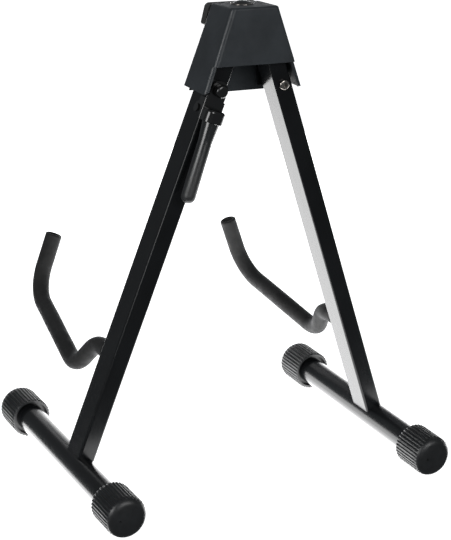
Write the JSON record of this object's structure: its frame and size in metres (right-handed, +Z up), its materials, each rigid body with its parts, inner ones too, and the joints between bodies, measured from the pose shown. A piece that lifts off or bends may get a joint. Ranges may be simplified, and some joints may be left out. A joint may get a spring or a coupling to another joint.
{
  "type": "folding guitar stand",
  "caption": "Folding A-frame floor stand for a guitar: raked tube legs on capped foot tubes, bent foam-covered cradle arms, hooded head with a squeeze-lever leg lock.",
  "frame": {"origin": "on the floor, at the middle of the open stand's bounding box", "axes": "+Z up, -Y towards the cradle arms (the front, where the guitar stands), +X towards the leg with the lever"},
  "size_m": [0.3368, 0.316, 0.4174],
  "materials": {
    "head_plastic": "satin moulded",
    "pad_rubber": "matte",
    "screw_black": "satin",
    "bright_steel": "bright zinc",
    "plated_steel": "zinc plated",
    "leg_paint": "satin powder coat",
    "foot_paint": "gloss powder coat",
    "rod_steel": "drawn",
    "sleeve_foam": "matte foam",
    "knob_black": "gloss",
    "spring_steel": "spring wire",
    "lever_paint": "satin",
    "grip_vinyl": "gloss dipped",
    "cap_rubber": "satin rubber"
  },
  "bodies": {
    "head_and_right_leg": {"head_cover": "head_plastic", "head_rest_pad": "pad_rubber", "head_screw": "screw_black", "head_screw_ring": "bright_steel", "head_bracket": "leg_paint", "head_nut_plate": "plated_steel", "hinge_bolt": "plated_steel", "head_nuts": "plated_steel", "spacer_washers": "plated_steel", "leg_stop": "leg_paint", "right_leg_bolts": "bright_steel", "right_leg_tube": "leg_paint", "right_foot_tube": "foot_paint", "right_front_cap": "cap_rubber", "right_rear_cap": "cap_rubber", "right_arm_rod": "rod_steel", "right_arm_sleeve": "sleeve_foam"},
    "left_leg": {"left_leg_tube": "leg_paint", "left_foot_tube": "foot_paint", "left_front_cap": "cap_rubber", "left_rear_cap": "cap_rubber", "left_arm_rod": "rod_steel", "left_arm_sleeve": "sleeve_foam", "lever_rivet": "lever_paint", "lock_spring": "spring_steel"},
    "release_lever": {"lever_bracket": "lever_paint", "lever_rod": "lever_paint", "lever_grip": "grip_vinyl", "lever_shoulder": "lever_paint"},
    "lock": {"lock_pin": "plated_steel", "lock_knob": "knob_black", "lock_clip": "plated_steel"}
  },
  "joints": [
    {"name": "leg_fold", "type": "hinge", "parent": "head_and_right_leg", "child": "left_leg", "pos_m": [0.01691, 0.0465, 0.38807], "axis": [0, 1, 0], "range_deg": [0, 38]},
    {"name": "lever_squeeze", "type": "hinge", "parent": "left_leg", "child": "release_lever", "pos_m": [0.03808, 0.0537, 0.32927], "axis": [-0.9409, 0, -0.3387], "range_deg": [0, 5], "stiffness_Nm_per_rad": 2, "springref_deg": -5.73},
    {"name": "lock_draw", "type": "slide", "parent": "left_leg", "child": "lock", "axis": [0, 1, 0], "range_m": [0, 0.002], "deforming": ["lock_spring"]}
  ],
  "couplings": [
    {"joint": "lock_draw", "follows": "lever_squeeze", "m_per_rad": 0.0218}
  ]
}
